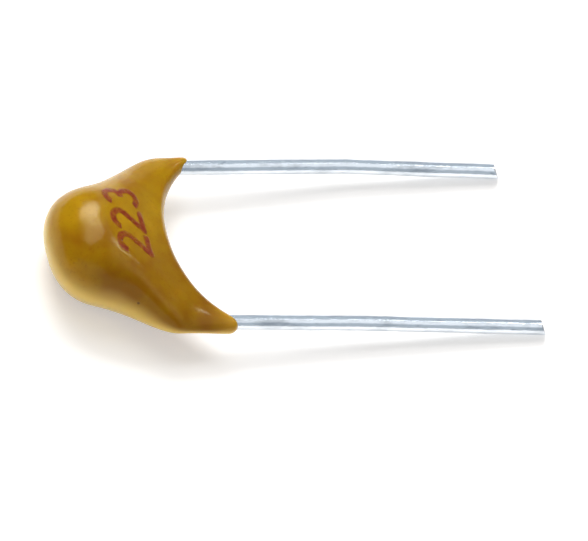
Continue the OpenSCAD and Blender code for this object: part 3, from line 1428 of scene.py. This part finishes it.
@dataclass(frozen=True)
class Softbox:
    """An oval studio lamp behind a diffuser.

    Attributes:
        name: Its name.
        towards: The direction in which it stands, seen from the part.
        width: Its width, in metres.
        height: Its height, in metres.
        glow: How bright its face is, where 1 is white.
        distance: How far away it stands, in metres.
    """

    name: str
    towards: Triple
    width: float
    height: float
    glow: float
    distance: float = 0.30

    def build(self) -> None:
        """Hangs the lamp, facing the part."""
        lamp = bpy.data.lights.new(self.name, "AREA")
        lamp.shape = "ELLIPSE"
        lamp.size, lamp.size_y = self.width, self.height
        face = math.pi / 4 * self.width * self.height
        lamp.energy = self.glow * math.pi * face
        holder = bpy.data.objects.new(self.name, lamp)
        way = Vector(self.towards).normalized()
        turn = way.to_track_quat("Z", "Y").to_matrix().to_4x4()
        holder.matrix_world = Matrix.Translation(way * self.distance) @ turn
        bpy.context.scene.collection.objects.link(holder)


@dataclass(frozen=True)
class Studio:
    """A plain pale studio: a white table, a soft sky, a softbox and the camera.

    Attributes:
        lamps: The softboxes.
        table: Half of the table's width, in metres.
        table_colour: The table's colour.
        table_lift: Light added to the table as seen, so that it stays white.
        wall: What is left of the sky beyond the strip that the leads reflect.
        strip: The two spans along X over which the sky brightens into the strip and fades out of it.
        dusk: The dark side of what shows behind the table and in reflections.
        sky: Its light side.
        sky_at: The direction of the light side.
        sky_edge: From the dark side to the light one.
        glow: Its bright part.
        glow_at: The direction of the bright part.
        glow_edge: From the rest to the bright part.
        fill: The soft light from all round on matte surfaces.
        azimuth: Where the camera stands, in degrees counted from +X.
        elevation: Its elevation, in degrees.
        roll: How far it is rolled, in degrees.
        aim: The point that it looks at, in metres.
        distance: Its distance from that point, in metres.
        lens: Its focal length, in millimetres.
    """

    lamps: tuple[Softbox, ...] = (
        Softbox("key_box", (-0.02, 0.68, 0.73), 0.23, 0.105, 8.5),
        Softbox("second_box", (-0.12, 0.42, 0.90), 0.30, 0.12, 2.8),
        Softbox("leg_box", (0.635, 0.26, 0.73), 0.055, 0.055, 8.0),
        Softbox("fill_box", (-0.55, -0.75, 0.20), 0.56, 0.40, 0.62),
    )
    table: float = 0.6
    table_colour: Colour = (0.88, 0.88, 0.88, 1.0)
    table_lift: float = 0.36
    wall: float = 0.25
    strip: tuple[Point, Point] = ((0.28, 0.42), (0.54, 0.70))
    dusk: Colour = (0.50, 0.54, 0.58, 1.0)
    sky: Colour = (0.48, 0.54, 0.60, 1.0)
    sky_at: Triple = (0.90, 0.35, 0.25)
    sky_edge: Step = Step(-0.1, 0.6)
    glow: Colour = (1.0, 1.03, 1.06, 1.0)
    glow_at: Triple = (0.50, -0.18, 0.85)
    glow_edge: Step = Step(0.86, 0.985)
    fill: Colour = (0.34, 0.32, 0.30, 1.0)
    azimuth: float = -128.26
    elevation: float = 51.79
    roll: float = 29.21
    aim: Triple = (-0.323 * MM, -1.154 * MM, 1.239 * MM)
    distance: float = 0.18
    lens: float = 400.0

    @staticmethod
    def seen(shader: Shader) -> Socket:
        """Tells whether a ray shows the studio as background.

        Args:
            shader: The tree that asks.

        Returns:
            1 where it does, or else 0.
        """
        rays = shader.add("ShaderNodeLightPath").outputs
        camera, glossy, through = (rays[kind.value] for kind in Light)
        return shader.math("MAXIMUM", shader.math("MAXIMUM", camera, glossy), through)

    def build_table(self) -> None:
        """Sets up the pale table."""
        bm = bmesh.new()
        bmesh.ops.create_grid(bm, x_segments=1, y_segments=1, size=self.table)
        mesh = bpy.data.meshes.new("table")
        bm.to_mesh(mesh)
        bm.free()
        material, shader = Shader.of_material("pale_table")
        matte = shader.add("ShaderNodeBsdfDiffuse", {"Color": self.table_colour})
        lift = shader.math("MULTIPLY", self.seen(shader), self.table_lift)
        glow = shader.add("ShaderNodeEmission", {"Color": (1.0, 1.0, 1.0, 1.0), "Strength": lift})
        shader.end(shader.add("ShaderNodeAddShader", {0: matte.outputs[0], 1: glow.outputs[0]}))
        mesh.materials.append(material)
        table = bpy.data.objects.new("table", mesh)
        bpy.context.scene.collection.objects.link(table)

    def build_sky(self) -> None:
        """Sets up the soft light from all round."""
        world = bpy.data.worlds.new("studio")
        world.use_nodes = True
        shader = Shader(world.node_tree)
        direction = shader.add("ShaderNodeTexCoord").outputs["Generated"]
        side, near = (shader.measure("DOT_PRODUCT", direction, Vector(way).normalized())
                      for way in (self.sky_at, self.glow_at))
        colour = shader.mix(shader.step(side, self.sky_edge), self.dusk, self.sky)
        colour = shader.mix(shader.step(near, self.glow_edge), colour, self.glow)
        towards_tips = shader.split(direction)[0]
        start, stop = self.strip
        darkened = shader.math("MULTIPLY", shader.step(towards_tips, Step(*start, self.wall, 1.0)),
                               shader.step(towards_tips, Step(*stop, 1.0, self.wall)))
        seen = self.seen(shader)
        colour = shader.mix(seen, self.fill, colour)
        shown = shader.math("MULTIPLY", seen, darkened)
        strength = shader.math("ADD", shown, shader.math("SUBTRACT", 1.0, seen))
        background = shader.add("ShaderNodeBackground", {"Color": colour, "Strength": strength})
        shader.add("ShaderNodeOutputWorld", {"Surface": background.outputs[0]})
        bpy.context.scene.world = world

    def build_camera(self) -> None:
        """Sets up the camera."""
        camera = bpy.data.cameras.new("camera")
        camera.lens = self.lens
        camera.clip_start = self.distance / 20
        camera.clip_end = 10.0
        azimuth, elevation = math.radians(self.azimuth), math.radians(self.elevation)
        back = Vector((math.cos(azimuth) * math.cos(elevation), math.sin(azimuth) * math.cos(elevation),
                       math.sin(elevation)))
        turn = (Matrix.Rotation(azimuth + math.pi / 2, 4, "Z")
                @ Matrix.Rotation(math.pi / 2 - elevation, 4, "X")
                @ Matrix.Rotation(math.radians(self.roll), 4, "Z"))
        holder = bpy.data.objects.new("camera", camera)
        holder.matrix_world = Matrix.Translation(Vector(self.aim) + back * self.distance) @ turn
        bpy.context.scene.collection.objects.link(holder)
        bpy.context.scene.camera = holder

    def build(self) -> None:
        """Sets up the whole studio."""
        self.build_table()
        self.build_sky()
        for lamp in self.lamps:
            lamp.build()
        self.build_camera()
        bpy.context.scene.view_settings.view_transform = "Standard"


def main() -> None:
    """Builds the part and its studio."""
    logging.basicConfig(level=logging.INFO, format="%(name)s: %(message)s")
    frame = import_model()
    Studio().build()
    capacitor = Capacitor(frame)
    capacitor.build_leads()
    capacitor.build_coat()
    capacitor.dress_inside()


if __name__ == "__main__":
    main()
